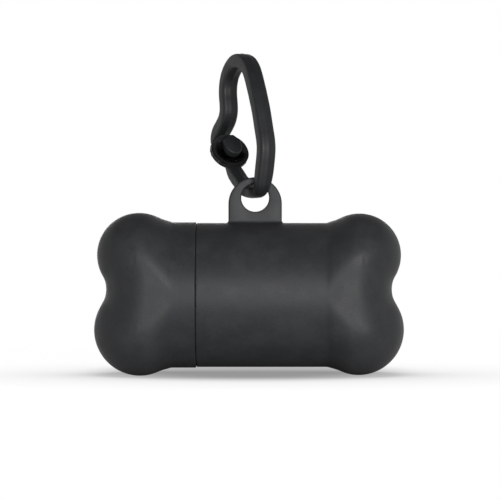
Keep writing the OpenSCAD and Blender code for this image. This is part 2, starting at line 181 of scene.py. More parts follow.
class StageSettings(bpy.types.PropertyGroup):
    distance: length("Distance", "Distance of the camera from the bone's axis", 770)
    lens: bpy.props.FloatProperty(name="Lens", description="Focal length in mm", default=200)
    elevation: bpy.props.FloatProperty(name="Elevation", description="Height angle of the camera",
                                       default=0.0, subtype="ANGLE")
    aim_x: length("Aim X", "What the middle of the picture shows, along X", 2.65)
    aim_z: length("Aim Z", "What the middle of the picture shows, along Z", -51.0)


GROUPS = {
    "bone_sizes": BoneSizes,
    "tab_sizes": TabSizes,
    "clip_sizes": ClipSizes,
    "roll_sizes": RollSizes,
    "finishes": Finishes,
    "studio": StageSettings,
}


def sizes(group):
    """The lengths of one group in millimetres, as a plain dict."""
    held = getattr(bpy.context.scene, group)
    return {key: getattr(held, key) / MM for key in GROUPS[group].__annotations__}


# Making and finishing meshes

def deselect():
    if bpy.context.mode != "OBJECT":
        bpy.ops.object.mode_set(mode="OBJECT")
    bpy.ops.object.select_all(action="DESELECT")


def choose(*objects):
    deselect()
    for obj in objects:
        obj.select_set(True)
    bpy.context.view_layer.objects.active = objects[0]
    return objects[0]


def close_up(obj, gap=2e-6):
    """Merges doubles and turns all faces outwards."""
    choose(obj)
    bpy.ops.object.mode_set(mode="EDIT")
    bpy.ops.mesh.select_all(action="SELECT")
    bpy.ops.mesh.remove_doubles(threshold=gap)
    bpy.ops.mesh.normals_make_consistent(inside=False)
    bpy.ops.object.mode_set(mode="OBJECT")
    return obj


def wrap(name, rings):
    """Lays a grid primitive on rings of points (row frame, millimetres) and closes it round."""
    rings = np.asarray(rings, float)
    rows, cols = rings.shape[:2]
    deselect()
    bpy.ops.mesh.primitive_grid_add(x_subdivisions=cols, y_subdivisions=rows - 1, size=1)
    obj = bpy.context.object
    obj.name = obj.data.name = name
    points = np.concatenate([rings, rings[:, :1]], axis=1) * MM
    obj.data.vertices.foreach_set("co", points.astype(np.float32).ravel())
    obj.data.update()
    return close_up(obj)


def apply_all(obj):
    choose(obj)
    for modifier in list(obj.modifiers):
        bpy.ops.object.modifier_apply(modifier=modifier.name)
    return obj


def modify(obj, kind, **settings):
    modifier = obj.modifiers.new(kind.lower(), kind)
    for key, value in settings.items():
        setattr(modifier, key, value)
    return apply_all(obj)


def settle(obj, matrix=None):
    """Puts the object's place into its mesh, so that the object sits at the origin."""
    if matrix is not None:
        obj.matrix_world = matrix @ obj.matrix_world
    choose(obj)
    bpy.ops.object.transform_apply(location=True, rotation=True, scale=True)
    return obj


def bevel(obj, mm, segments, degrees):
    """Rounds the edges that turn by more than so many degrees."""
    return modify(obj, "BEVEL", width=mm * MM, segments=segments, limit_method="ANGLE",
                  angle_limit=math.radians(degrees))


def cut(obj, tool):
    """Takes a closed tool out of a piece, then deletes the tool."""
    modify(obj, "BOOLEAN", object=tool, operation="DIFFERENCE", solver="EXACT")
    choose(tool)
    bpy.ops.object.delete()


def cylinder(name, radius, depth, sides, along=0.0):
    """A round plug about Z, its middle so many millimetres along Z."""
    deselect()
    bpy.ops.mesh.primitive_cylinder_add(vertices=sides, radius=radius * MM, depth=depth * MM)
    obj = bpy.context.object
    obj.name = obj.data.name = name
    return settle(obj, Matrix.Translation((0, 0, along * MM)))


def smooth(obj, degrees=32):
    choose(obj)
    bpy.ops.object.shade_smooth_by_angle(angle=math.radians(degrees))
    return obj


def hand_over(obj, material, body, slot, *nodes):
    """Gives a finished piece its material and its body, and hides the CAD nodes it stands for; its slot is
    not used.
    """
    obj.data.materials.clear()
    obj.data.materials.append(material)
    if body:
        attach(obj, body)
    if nodes:
        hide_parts(*nodes)
    return obj


def frame_matrix(origin, x, y, z):
    """A matrix from three directions and an origin in millimetres."""
    m = Matrix.Identity(4)
    for i in range(3):
        m[i][0], m[i][1], m[i][2], m[i][3] = x[i], y[i], z[i], origin[i] * MM
    return m


# The bone's surface

def ease(t):
    t = np.clip(t, 0, 1)
    return t * t * (3 - 2 * t)


def meet(a, b, r):
    """The smaller of two distances, rounded by r where they meet."""
    return np.maximum(r, np.minimum(a, b)) - np.hypot(np.maximum(r - a, 0), np.maximum(r - b, 0))


def soft(a, b, k):
    """The smaller of two distances, eased where they differ by less than k."""
    k = np.maximum(k, 1e-9)
    return np.minimum(a, b) - np.maximum(0, k - np.abs(a - b)) ** 2 / (4 * k)


# Slopes of the run from the trunk up to a lobe and of the notch's flanks, and the notch's rounding.
LOBE_SLOPE, NOTCH_SLOPE, NOTCH_ROUND = math.radians(24), math.radians(28.6), 3.0
# Easing where the trunk meets a lobe's run, at the outline and for each millimetre inside it.
SWELL, SWELL_INSIDE = 1.2, 0.35
# The rays to the surface end between these distances from the fan's centre.
NEAREST, FARTHEST = 5.0, 34.0


class Bone:
    """The bone's form, in millimetres from its own middle."""

    def __init__(self, s):
        self.half = s["whole_length"] / 2
        self.trunk = s["trunk_radius"]
        self.round = s["end_round"]
        self.top_in = s["top_in"]
        self.end_ease = s["end_ease"]
        self.seam = s["cap_length"] - self.half
        self.up = np.array([-math.sin(LOBE_SLOPE), math.cos(LOBE_SLOPE)])
        self.down = np.array([math.cos(NOTCH_SLOPE), -math.sin(NOTCH_SLOPE)])
        # Each lobe is a circle: its centre and its radius. Both touch the same run from the trunk.
        big, low = s["lobe_radius"], s["low_radius"]
        centre = np.array([self.half - big, s["whole_height"] / 2 - big])
        low_x = self.half - low
        self.top_lobe = (centre, big)
        low_z = (centre @ self.up + big - low - low_x * self.up[0]) / self.up[1]
        self.low_lobe = (np.array([low_x, low_z]), low)
        start = centre + big * self.up
        self.corner_ease = s["corner_ease"]
        self.fan = start[0] - (start[1] - self.trunk) / math.tan(LOBE_SLOPE) - self.corner_ease
        notch = (self.flank(*self.top_lobe) - self.top_in + self.flank(*self.low_lobe)) / 2
        notch += NOTCH_ROUND * (1 / math.cos(NOTCH_SLOPE) - 1)
        self.shoulder = notch - s["shoulder_in"]

    def flank(self, centre, radius):
        """Where a lobe's flank in the notch would meet the axis."""
        at = centre + radius * self.down
        return at[0] + at[1] * self.down[1] / self.down[0]

    def run(self, x, z, lobe, n, turn):
        """Distance from a lobe's circle and one of its straight runs."""
        centre, radius = lobe
        px, pz = x - centre[0] - radius * n[0], z - centre[1] - radius * n[1]
        circle = np.hypot(x - centre[0], z - centre[1]) - radius
        return np.where(turn * (px * n[1] - pz * n[0]) > 0, px * n[0] + pz * n[1], circle)

    def outside(self, x, y, z):
        """How far points lie outside one end of the bone."""
        az, short = np.abs(z), x + self.top_in
        side = self.trunk - (self.trunk - self.round) * ease((x - self.fan) / self.end_ease)
        rise = np.where(z > 0, self.run(short, z, self.top_lobe, self.up, -1),
                        self.run(x, az, self.low_lobe, self.up, -1))
        swell = SWELL + SWELL_INSIDE * np.maximum(0, self.trunk - az)
        swell = swell * ease((x - self.fan) / self.corner_ease)
        a = soft(az - self.trunk, rise, swell) + side
        b = meet(self.run(short, z, self.top_lobe, self.down, 1),
                 self.run(x, -z, self.low_lobe, self.down, 1), NOTCH_ROUND) + self.round
        u = np.maximum(0, -soft(-a, -b, 3 * np.maximum(0, 1 - np.maximum(a, b) / side)))
        return np.hypot(u, np.maximum(0, np.abs(y) - self.trunk + side)) - side

    def reach(self, direction):
        """Distance along rays from the fan's centre to the surface, by halving."""
        low = np.full(direction.shape[:-1], NEAREST)
        high = np.full(direction.shape[:-1], FARTHEST)
        for _ in range(26):
            mid = (low + high) / 2
            out = self.outside(self.fan + mid * direction[..., 0], mid * direction[..., 1],
                               mid * direction[..., 2]) > 0
            high = np.where(out, mid, high)
            low = np.where(out, low, mid)
        return (low + high) / 2

    def end_rings(self, columns, rows, grow):
        """Rings from the bottom of the notch out over the lobes to the trunk."""
        tilt = np.radians(np.linspace(0, 90, 1800))
        flat = np.stack([np.cos(tilt), 0 * tilt, np.sin(tilt)], -1)
        far = self.reach(flat)
        line = np.stack([far * np.cos(tilt), far * np.sin(tilt)], -1)
        run = np.concatenate([[0], np.cumsum(np.linalg.norm(np.diff(line, axis=0), axis=1))])
        tilt = np.interp(np.linspace(0, run[-1], rows), run, tilt)
        turn = np.linspace(0, 2 * math.pi, columns, endpoint=False)
        tilt, turn = np.meshgrid(tilt, turn, indexing="ij")
        rays = np.stack([np.cos(tilt), np.sin(tilt) * np.sin(turn), np.sin(tilt) * np.cos(turn)], -1)
        far = self.reach(rays) + grow
        return rays * far[..., None] + np.array([self.fan, 0, 0])


def turned_rings(profile, columns):
    """Rings about the bone's axis, one for each (x, radius)."""
    turn = np.linspace(0, 2 * math.pi, columns, endpoint=False)
    return np.array([np.stack([np.full(columns, x), r * np.sin(turn), r * np.cos(turn)], -1)
                     for x, r in profile])


def rounded(x, r, dx, dr, size, steps=4):
    """A quarter round between an edge's two walls: dx and dr say which way they leave it."""
    out = []
    for i in range(steps + 1):
        a = math.pi / 2 * i / steps
        out.append((x + dx * size * (1 - math.sin(a)), r + dr * size * (1 - math.cos(a))))
    return out


def turned(name, profile):
    """A piece turned about the bone's axis."""
    return smooth(wrap(name, turned_rings(profile, 96) + BONE_AT))


# Points round the bone and rings over each end.
COLUMNS, END_ROWS = 192, 96


def slot_outline(s, middle, count=160):
    """The bag slot's outline seen from the back: a long slot with a round widening."""
    half, end, eye = s["slot_length"] / 2, s["slot_width"] / 2, s["slot_eye"]
    out = []
    for i in range(count):
        a = 2 * math.pi * i / count
        c, n = math.cos(a), math.sin(a)
        low, high = 0.0, half + 1
        for _ in range(30):
            r = (low + high) / 2
            x, z = r * c, r * n
            bar = math.hypot(max(0, abs(x) - (half - end)), z) - end
            inside = min(bar, math.hypot(x, z) - eye)
            low, high = (r, high) if inside < 0 else (low, r)
        out.append((middle + low * c, low * n))
    return out


# Materials

def linear(text):
    """An sRGB hex colour as linear RGBA."""
    parts = [int(text[i:i + 2], 16) / 255 for i in (1, 3, 5)]
    return [c / 12.92 if c <= 0.04045 else ((c + 0.055) / 1.055) ** 2.4 for c in parts] + [1.0]


def node(tree, kind, settings=None, **inputs):
    """Adds one node, sets its own settings, and fills or links its inputs."""
    made = tree.nodes.new(kind)
    for key, value in (settings or {}).items():
        setattr(made, key, value)
    for key, value in inputs.items():
        numbered = key[0] == "i" and key[1:].isdigit()
        socket = made.inputs[int(key[1:]) if numbered else key.replace("_", " ")]
        if isinstance(value, bpy.types.NodeSocket):
            tree.links.new(value, socket)
        else:
            socket.default_value = value
    return made


def new_material(name):
    material = bpy.data.materials.new(name)
    material.use_nodes = True
    tree = material.node_tree
    tree.nodes.clear()
    return material, tree


def object_place(tree):
    return node(tree, "ShaderNodeTexCoord").outputs["Object"]


def noise(tree, place, mm, detail):
    """Noise whose clouds are about so many millimetres across."""
    return node(tree, "ShaderNodeTexNoise", Vector=place, Scale=1 / (mm * MM), Detail=detail).outputs["Fac"]


def maths(tree, operation, *values):
    """One step of arithmetic on numbers or sockets."""
    inputs = {f"i{i}": value for i, value in enumerate(values)}
    return node(tree, "ShaderNodeMath", {"operation": operation}, **inputs).outputs[0]


def remap(tree, value, low, high, to_low=0.0, to_high=1.0, way="LINEAR"):
    """Turns one range of a value into another, and holds it there."""
    return node(tree, "ShaderNodeMapRange", {"interpolation_type": way}, Value=value, From_Min=low,
                From_Max=high, To_Min=to_low, To_Max=to_high).outputs[0]


def moved(tree, place, **how):
    return node(tree, "ShaderNodeMapping", Vector=place, **how).outputs[0]


def distance(tree, place):
    return node(tree, "ShaderNodeVectorMath", {"operation": "LENGTH"}, i0=place).outputs["Value"]


def two_tone(tree, share, first, second):
    """A colour between two hex colours."""
    return node(tree, "ShaderNodeMix", {"data_type": "RGBA"}, i0=share, i6=linear(first),
                i7=linear(second)).outputs[2]


def surface(tree, tint, roughness, height, strength, depth_mm, **constants):
    """Ends a material with a bumped shader."""
    bump = node(tree, "ShaderNodeBump", Height=height, Strength=strength, Distance=depth_mm * MM)
    shader = node(tree, "ShaderNodeBsdfPrincipled", Base_Color=tint, Roughness=roughness,
                  Normal=bump.outputs[0], **constants)
    node(tree, "ShaderNodeOutputMaterial", Surface=shader.outputs[0])


def moulded_polypropylene(name, base, worn, grain_mm, grain_depth_mm, roughness, spread, gloss):
    """Injection-moulded polypropylene: satin, with the mould's fine spark grain and a few handling marks."""
    material, tree = new_material(name)
    place = object_place(tree)
    worn_part = remap(tree, noise(tree, place, 6, 3.0), 0.42, 0.72)
    specks = remap(tree, noise(tree, place, 0.9, 2.0), 0.3, 0.7)
    mixed = maths(tree, "MULTIPLY_ADD", specks, 0.45, worn_part)
    rough = remap(tree, mixed, 0.0, 1.0, roughness - spread, roughness + spread)
    # Handling marks are long in one direction, so their noise is stretched.
    along = moved(tree, place, Scale=(0.12, 0.8, 1.0), Rotation=(0.2, 0.5, 0.3))
    marks = remap(tree, noise(tree, along, 0.35, 1.0), 0.72, 0.8)
    height = maths(tree, "MULTIPLY_ADD", marks, -0.5, noise(tree, place, grain_mm, 2.0))
    surface(tree, two_tone(tree, mixed, base, worn), rough, height, 0.6, grain_depth_mm, IOR=1.49,
            Specular_IOR_Level=gloss)
    return material


def brown_card(name, base, fibre):
    """Spiral-wound brown card: matt, with short fibres."""
    material, tree = new_material(name)
    laid = moved(tree, object_place(tree), Scale=(1.0, 6.0, 6.0), Rotation=(0, 0, 0.4))
    fibres = noise(tree, laid, 1.5, 6.0)
    surface(tree, two_tone(tree, fibres, base, fibre), 0.85, fibres, 0.5, 0.05)
    return material


def wound_film(name, base, deep):
    """Thin polyethylene film wound on itself: waxy, with the layers' edges showing as fine rings."""
    material, tree = new_material(name)
    place = object_place(tree)
    centred = moved(tree, place, Location=(0.0, -BONE_AT[1] * MM, -BONE_AT[2] * MM))
    parts = node(tree, "ShaderNodeSeparateXYZ", Vector=centred)
    across = node(tree, "ShaderNodeCombineXYZ", Y=parts.outputs[1], Z=parts.outputs[2])
    radius = distance(tree, across.outputs[0])
    layers = maths(tree, "MULTIPLY_ADD", noise(tree, place, 4, 2.0), 0.6 * MM, radius)
    # Each layer is far too thin to show, so the rings are drawn 0.35 mm apart.
    wave = maths(tree, "SINE", maths(tree, "MULTIPLY", layers, 2 * math.pi / (0.35 * MM)))
    bands = remap(tree, wave, -1.0, 1.0)
    height = maths(tree, "MULTIPLY_ADD", bands, 0.3, noise(tree, place, 2.2, 4.0))
    surface(tree, two_tone(tree, bands, deep, base), 0.38, height, 0.7, 0.25)
    return material


def finish(name):
    """One of the object's own materials, made when it is first asked for."""
    f = bpy.context.scene.finishes
    # After the colours come the grain's width and depth in mm, the roughness, its spread, and the gloss.
    makers = {
        "shell_polypropylene": (moulded_polypropylene, f.shell, f.shell_worn, 0.3, 0.05, 0.52, 0.05, 0.16),
        "clip_polypropylene": (moulded_polypropylene, f.clip, f.clip_worn, 0.25, 0.025, 0.5, 0.05, 0.2),
        "stub_polypropylene": (moulded_polypropylene, f.stub, f.stub, 0.3, 0.03, 0.45, 0.04, 0.4),
        "tube_card": (brown_card, f.card, f.card_fibre),
        "film_wound": (wound_film, f.film, f.film_deep),
    }
    maker, *settings = makers[name]
    return bpy.data.materials.get(name) or maker(name, *settings)


# Pieces

class DISPENSER_OT_case(bpy.types.Operator):
    """Long half of the bone: trunk, lobes, threaded neck, bore and bag slot"""
    bl_idname = "dispenser.case"
    bl_label = "Case"

    def execute(self, context):
        s, roll = sizes("bone_sizes"), sizes("roll_sizes")
        bone = Bone(s)
        edge, seam, trunk = s["seam_round"], bone.seam, bone.trunk
        neck_end = seam - s["neck_length"]
        spigot = roll["offset"] + bone.shoulder - roll["room"] / 2 - roll["spigot_in"]
        profile = [(x, trunk) for x in np.linspace(bone.fan - 0.6, seam + 0.8, 30)]
        profile += rounded(seam, trunk, 1, -1, edge)
        profile += [(seam, s["neck_radius"] + 0.15), (seam - 0.15, s["neck_radius"])]
        profile += [(x, s["neck_radius"]) for x in np.linspace(seam - 1, neck_end + 0.8, 8)]
        profile += [(neck_end + 0.3, s["neck_radius"]), (neck_end + 0.08, s["neck_radius"] - 0.1),
                    (neck_end, s["neck_radius"] - 0.3), (neck_end, s["bore_radius"] + 0.2),
                    (neck_end + 0.2, s["bore_radius"])]
        profile += [(x, s["bore_radius"]) for x in np.linspace(neck_end + 1, bone.shoulder - 0.6, 30)]
        profile += [(bone.shoulder, s["bore_radius"] - 0.6), (bone.shoulder, s["hub_radius"] + 0.4),
                    (bone.shoulder - 0.4, s["hub_radius"]), (spigot + 0.5, s["hub_radius"]),
                    (spigot, s["hub_radius"] - 0.5), (spigot, 1.5), (spigot, 0)]
        rings = np.concatenate([bone.end_rings(COLUMNS, END_ROWS, 0), turned_rings(profile, COLUMNS)])
        shell = wrap("case_shell", rings + BONE_AT)
        middle = (seam + bone.fan + bone.corner_ease) / 2
        outline = slot_outline(s, middle)
        layers = [[(x, y, z) for x, z in ([(middle, 0)] * len(outline) if flat else outline)]
                  for y, flat in ((12.5, True), (12.5, False), (24.0, False), (24.0, True))]
        cutter = wrap("slot_cutter", np.array(layers) + BONE_AT)
        cut(shell, cutter)
        smooth(shell)
        hand_over(shell, finish("shell_polypropylene"), "case", "shell", "case_body")
        return {"FINISHED"}


def thread_rings(start, root, tip, lead):
    """Sections of a helical ridge, its ends drawn down into the wall."""
    turns, steps, base, crest = 2, 72, 1.5, 0.7
    rings = []
    count = turns * steps
    for i in range(count + 1):
        turn = 2 * math.pi * i / steps
        rise = min(1.0, min(i, count - i) / (steps / 8))
        rise = 0.25 + 0.75 * math.sin(rise * math.pi / 2)
        top, edge = root + (tip - root) * rise, root + (tip - root) * 0.85 * rise
        section = [(-base / 2, root), (-crest / 2 - 0.1, edge), (-crest / 2 + 0.1, top),
                   (crest / 2 - 0.1, top), (crest / 2 + 0.1, edge), (base / 2, root)]
        x0 = start + lead * i / steps
        ring = [(x0 + x, r * math.sin(turn), r * math.cos(turn)) for x, r in section]
        if i == 0:
            rings.append([tuple(np.mean(ring, axis=0))] * len(section))
        rings.append(ring)
        if i == count:
            rings.append([tuple(np.mean(ring, axis=0))] * len(section))
    # The ridge turns from +Y towards +Z, as the CAD's does.
    return np.array([[(x, z, y) for x, y, z in ring] for ring in rings])


class DISPENSER_OT_threads(bpy.types.Operator):
    """Thread ridges: one on the neck and one inside the cap"""
    bl_idname = "dispenser.threads"
    bl_label = "Threads"

    def execute(self, context):
        s = sizes("bone_sizes")
        bone = Bone(s)
        start = bone.seam - s["neck_length"] + 2.2
        neck, lead = s["neck_radius"], s["thread_lead"]
        crest = neck + s["thread_height"]
        ridges = (("neck_thread", "case", start, neck - 0.2, crest),
                  ("cap_thread", "cap", start - lead / 2, crest + 0.35, neck + 0.1))
        for name, body, first, root, tip in ridges:
            ridge = wrap(name, thread_rings(first, root, tip, lead) + BONE_AT)
            hand_over(smooth(ridge, 50), finish("shell_polypropylene"), body, "shell")
        return {"FINISHED"}


class DISPENSER_OT_cap(bpy.types.Operator):
    """Short half of the bone: the screw cap, with faint sink marks over its inner thread"""
    bl_idname = "dispenser.cap"
    bl_label = "Cap"

    def execute(self, context):
        s, roll = sizes("bone_sizes"), sizes("roll_sizes")
        bone = Bone(s)
        proud, edge = s["cap_proud"], s["seam_round"]
        rim, trunk = bone.seam - s["seam_gap"], bone.trunk + proud
        cap_bore = s["neck_radius"] + s["thread_height"] + 0.1
        step = bone.seam - s["neck_length"] - 0.4
        boss, journal = -bone.shoulder, roll["journal_radius"] + 0.1
        end = bone.end_rings(COLUMNS, END_ROWS, proud) * np.array([-1, 1, 1])
        profile = [(x, trunk) for x in np.linspace(-bone.fan + 0.5, rim - 0.5, 40)]
        profile += rounded(rim, trunk, -1, -1, edge)
        bulb = roll["bulb_radius"] + 0.1
        profile += [(rim, cap_bore + 0.3), (rim - 0.3, cap_bore)]
        profile += [(x, cap_bore) for x in np.linspace(rim - 1, step, 8)]
        profile += [(step, s["bore_radius"] + 0.2), (step - 0.2, s["bore_radius"]),
                    (boss + 0.6, s["bore_radius"]), (boss, s["bore_radius"] - 0.6),
                    (boss, journal + 0.2), (boss - 0.2, journal), (boss - 2.4, journal),
                    (boss - 2.4, bulb), (boss - 5, bulb), (boss - 5, 0)]
        rings = np.concatenate([end, turned_rings(profile, COLUMNS)])
        turn = np.arctan2(rings[..., 2], rings[..., 1]) / (2 * math.pi)
        start = bone.seam - s["neck_length"] + 2.2 - s["thread_lead"] / 2
        along = (rings[..., 0] - start) / s["thread_lead"] - turn
        off = np.abs(along - np.round(along)) * s["thread_lead"]
        outer = np.hypot(rings[..., 1], rings[..., 2]) > bone.trunk
        within = ease(rings[..., 0] - start) * ease(start + 2 * s["thread_lead"] - rings[..., 0])
        sink = np.where(outer, s["sink_depth"] * ease(1 - off / 0.9) * within, 0)
        rings[..., 1] *= 1 - sink / trunk
        rings[..., 2] *= 1 - sink / trunk
        shell = smooth(wrap("cap_shell_skin", rings + BONE_AT))
        hand_over(shell, finish("shell_polypropylene"), "cap", "shell", "cap_shell")
        return {"FINISHED"}


class DISPENSER_OT_tab(bpy.types.Operator):
    """Hanging tab on the trunk, with its round eye and the fillet at its foot"""
    bl_idname = "dispenser.tab"
    bl_label = "Tab"

    def execute(self, context):
        t, s = sizes("tab_sizes"), sizes("bone_sizes")
        half, trunk = t["width"] / 2, s["trunk_radius"]
        top_z, eye_z = t["top"] - half, t["top"] - t["eye_drop"]
        deselect()
        bpy.ops.mesh.primitive_circle_add(vertices=96, radius=half * MM, fill_type="NOTHING",
                                          rotation=(math.pi / 2, 0, 0))
        tab = bpy.context.object
        tab.name = tab.data.name = "hanging_tab"
        settle(tab)
        for v in tab.data.vertices:
            x, z = v.co.x / MM, v.co.z / MM
            if z < -1e-4:
                # The lower half of the circle becomes the straight sides and the hidden foot.
                a = math.atan2(-z, abs(x)) / (math.pi / 2)
                side = half if x >= 0 else -half
                z = -(top_z - trunk + 1.4) * min(1, a * 2)
                x = side * (1 if a < 0.5 else 2 * (1 - a))
            v.co = ((x + t["along"]) * MM, 0, (z + top_z) * MM)
        choose(tab)
        bpy.ops.object.mode_set(mode="EDIT")
        bpy.ops.mesh.select_all(action="DESELECT")
        bpy.ops.mesh.primitive_circle_add(vertices=96, radius=t["eye_radius"] * MM, fill_type="NOTHING",
                                          rotation=(math.pi / 2, 0, 0),
                                          location=(t["along"] * MM, 0, eye_z * MM))
        bpy.ops.mesh.select_all(action="SELECT")
        bpy.ops.mesh.bridge_edge_loops()
        bpy.ops.mesh.select_all(action="SELECT")
        bpy.ops.mesh.extrude_region_move(TRANSFORM_OT_translate={"value": (0, t["thickness"] * MM, 0)})
        bpy.ops.mesh.select_all(action="SELECT")
        bpy.ops.transform.translate(value=(0, -t["thickness"] / 2 * MM, 0))
        bpy.ops.mesh.normals_make_consistent(inside=False)
        bpy.ops.object.mode_set(mode="OBJECT")
        bevel(tab, t["edge"], 4, 60)
        settle(tab, Matrix.Translation(Vector(BONE_AT * MM)))
        hand_over(smooth(tab), finish("shell_polypropylene"), "case", "shell")
        corner, rings = 0.6, []
        for k in range(7):
            a = math.pi / 2 * k / 6
            out, up = t["fillet"] * (1 - math.cos(a)), t["fillet"] * (1 - math.sin(a))
            ring = []
            for i in range(120):
                b = 2 * math.pi * i / 120
                c, n = math.cos(b), math.sin(b)
                far = corner + out - 0.02
                x = math.copysign(half - corner, c) + far * math.copysign(abs(c) ** 0.5, c)
                y = math.copysign(t["thickness"] / 2 - corner, n) + far * math.copysign(abs(n) ** 0.5, n)
                z = math.sqrt(trunk ** 2 - y * y) + up - 0.03
                ring.append((x + t["along"], y, z))
            rings.append(ring)
        fillet = wrap("tab_fillet", np.array(rings) + BONE_AT)
        hand_over(smooth(fillet, 60), finish("shell_polypropylene"), "case", "shell")
        return {"FINISHED"}


# The clip

HINGE = (-9, 2.9)
LOOP = [
    HINGE, (-7.2, 1.9), (-5, 0.7), (-2.8, 0.05), (-1.2, 0), (0.6, 0), (2, 0.05), (3.5, 0.6), (4.8, 2.2),
    (5.6, 4.2), (6.2, 6.1), (6.7, 8), (7.2, 10.1), (7.4, 12.3), (7, 14.5), (6.2, 16.7), (5.4, 18.9),
    (4.6, 21.1), (3.65, 23.4), (2.55, 25.6), (1.45, 27.8), (0.2, 30), (-1.1, 32.2), (-2.6, 34.2),
    (-4.8, 35.9), (-7.4, 36.8), (-10, 37.1), (-12.7, 36.7), (-15.2, 35.4), (-17.1, 33.8), (-18.2, 32),
    (-18.8, 30), (-18.8, 27.8), (-18.4, 25.6), (-18.3, 23.4), (-19.2, 21.4), (-20.7, 20), (-22.2, 18.9),
    (-23.7, 17.8), (-24.7, 16.3), (-24.7, 14.5), (-23.4, 12.6), (-21.7, 10.9), (-20.3, 9.4),
]
ARM = [HINGE, (-10.4, 3.6), (-11.8, 4.5), (-13.1, 5.4), (-14.4, 6.5), (-15.4, 7.6), (-16, 8.5)]
RING_CENTRE = np.array([-17.8, 11.9])
RING_LEAN = math.radians(35)
RING_OUT = np.array([math.cos(RING_LEAN), math.sin(RING_LEAN)])
RING_UP = np.array([-math.sin(RING_LEAN), math.cos(RING_LEAN)])


def clip_point(u, s, z):
    """A point of the clip: u along its plane, s across it, z up, in row millimetres."""
    return HINGE_AT + (u - HINGE[0]) * CLIP_OUT + s * CLIP_SIDE + np.array([0, 0, z - HINGE[1]])


def flowing(points, per=5):
    """A smooth line through points, per steps to each stretch."""
    p = np.array(points, float)
    p = np.vstack([2 * p[0] - p[1], p, 2 * p[-1] - p[-2]])
    out = []
    for i in range(1, len(p) - 2):
        for k in range(per):
            t = k / per
            out.append(0.5 * (2 * p[i] + (p[i + 1] - p[i - 1]) * t
                              + (2 * p[i - 1] - 5 * p[i] + 4 * p[i + 1] - p[i + 2]) * t * t
                              + (3 * p[i] - p[i - 1] - 3 * p[i + 1] + p[i + 2]) * t ** 3))
    out.append(p[-2])
    return np.array(out)


def bar_section(thick, wide, corner, parting):
    """A rounded bar's section with the parting line's fine ridge on its two in-plane faces."""
    t, w = thick / 2, wide / 2
    r = min(corner, t * 0.8, w * 0.8)
    ridge = [(-0.22, 0), (0, parting), (0.22, 0)]
    out = [(t + h, s) for s, h in ridge]
    for quarter, (ct, cw) in enumerate(((1, 1), (-1, 1), (-1, -1), (1, -1))):
        if quarter == 2:
            out += [(-t - h, s) for s, h in reversed(ridge)]
        for k in range(6):
            a = math.pi / 2 * (quarter + k / 5)
            out.append((ct * (t - r) + r * math.cos(a), cw * (w - r) + r * math.sin(a)))
    return out


def swept_bar(name, line, measures, corner, parting):
    """A bar swept along a line of the clip's plane; measures gives its thickness and width there."""
    rings = []
    for i, p in enumerate(line):
        d = line[min(i + 1, len(line) - 1)] - line[max(i - 1, 0)]
        d = d / np.linalg.norm(d)
        side = np.array([-d[1], d[0]])
        section = [(p + c * side, s) for c, s in bar_section(*measures[i], corner, parting)]
        rings.append([clip_point(at[0], s, at[1]) for at, s in section])
    rings = np.array(rings)
    # Both ends close in two steps towards their middles.
    start, end = ([ring.mean(0) + (ring - ring.mean(0)) * share for share in (0, 0.5)]
                  for ring in (rings[0], rings[-1]))
    return wrap(name, np.concatenate([start, rings, end[::-1]]))


def loop_measures(line, c):
    out = []
    ends = np.concatenate([[0], np.cumsum(np.linalg.norm(np.diff(line, axis=0), axis=1))])
    for (u, z), along in zip(line, ends):
        if z > 9 or u < -12:
            k = float(ease((ends[-1] - along) / 8.5))
            out.append((c["thickness"] - (1 - k), c["width"] - 0.6 * (1 - k)))
        else:
            g = float(ease((abs(u) - 2.4) / 4))
            e = 0.45 + 0.55 * float(ease((u - 0.5) / 2))
            out.append((c["eye_thickness"] + (c["thickness"] - c["eye_thickness"]) * g * e,
                        c["eye_width"] + (c["width"] - c["eye_width"]) * g))
    return out


def ring_frame(along):
    """The place of the snap ring: its own Z is its axis and its own Y runs up its face."""
    p = RING_CENTRE + along * RING_OUT
    origin = clip_point(p[0], 0, p[1])
    out = RING_OUT[0] * CLIP_OUT + np.array([0, 0, RING_OUT[1]])
    up = RING_UP[0] * CLIP_OUT + np.array([0, 0, RING_UP[1]])
    return frame_matrix(origin, CLIP_SIDE, up, out)


class DISPENSER_OT_strap(bpy.types.Operator):
    """Moulded loop of the clip, from the bend in its lower end round to the knob's stem"""
    bl_idname = "dispenser.strap"
    bl_label = "Clip loop"

    def execute(self, context):
        c = sizes("clip_sizes")
        line = flowing(LOOP)
        strap = swept_bar("clip_loop", line[6:], loop_measures(line, c)[6:], c["corner"], c["parting"])
        hand_over(smooth(strap, 50), finish("clip_polypropylene"), "clip", "clip", "clip_strap")
        return {"FINISHED"}


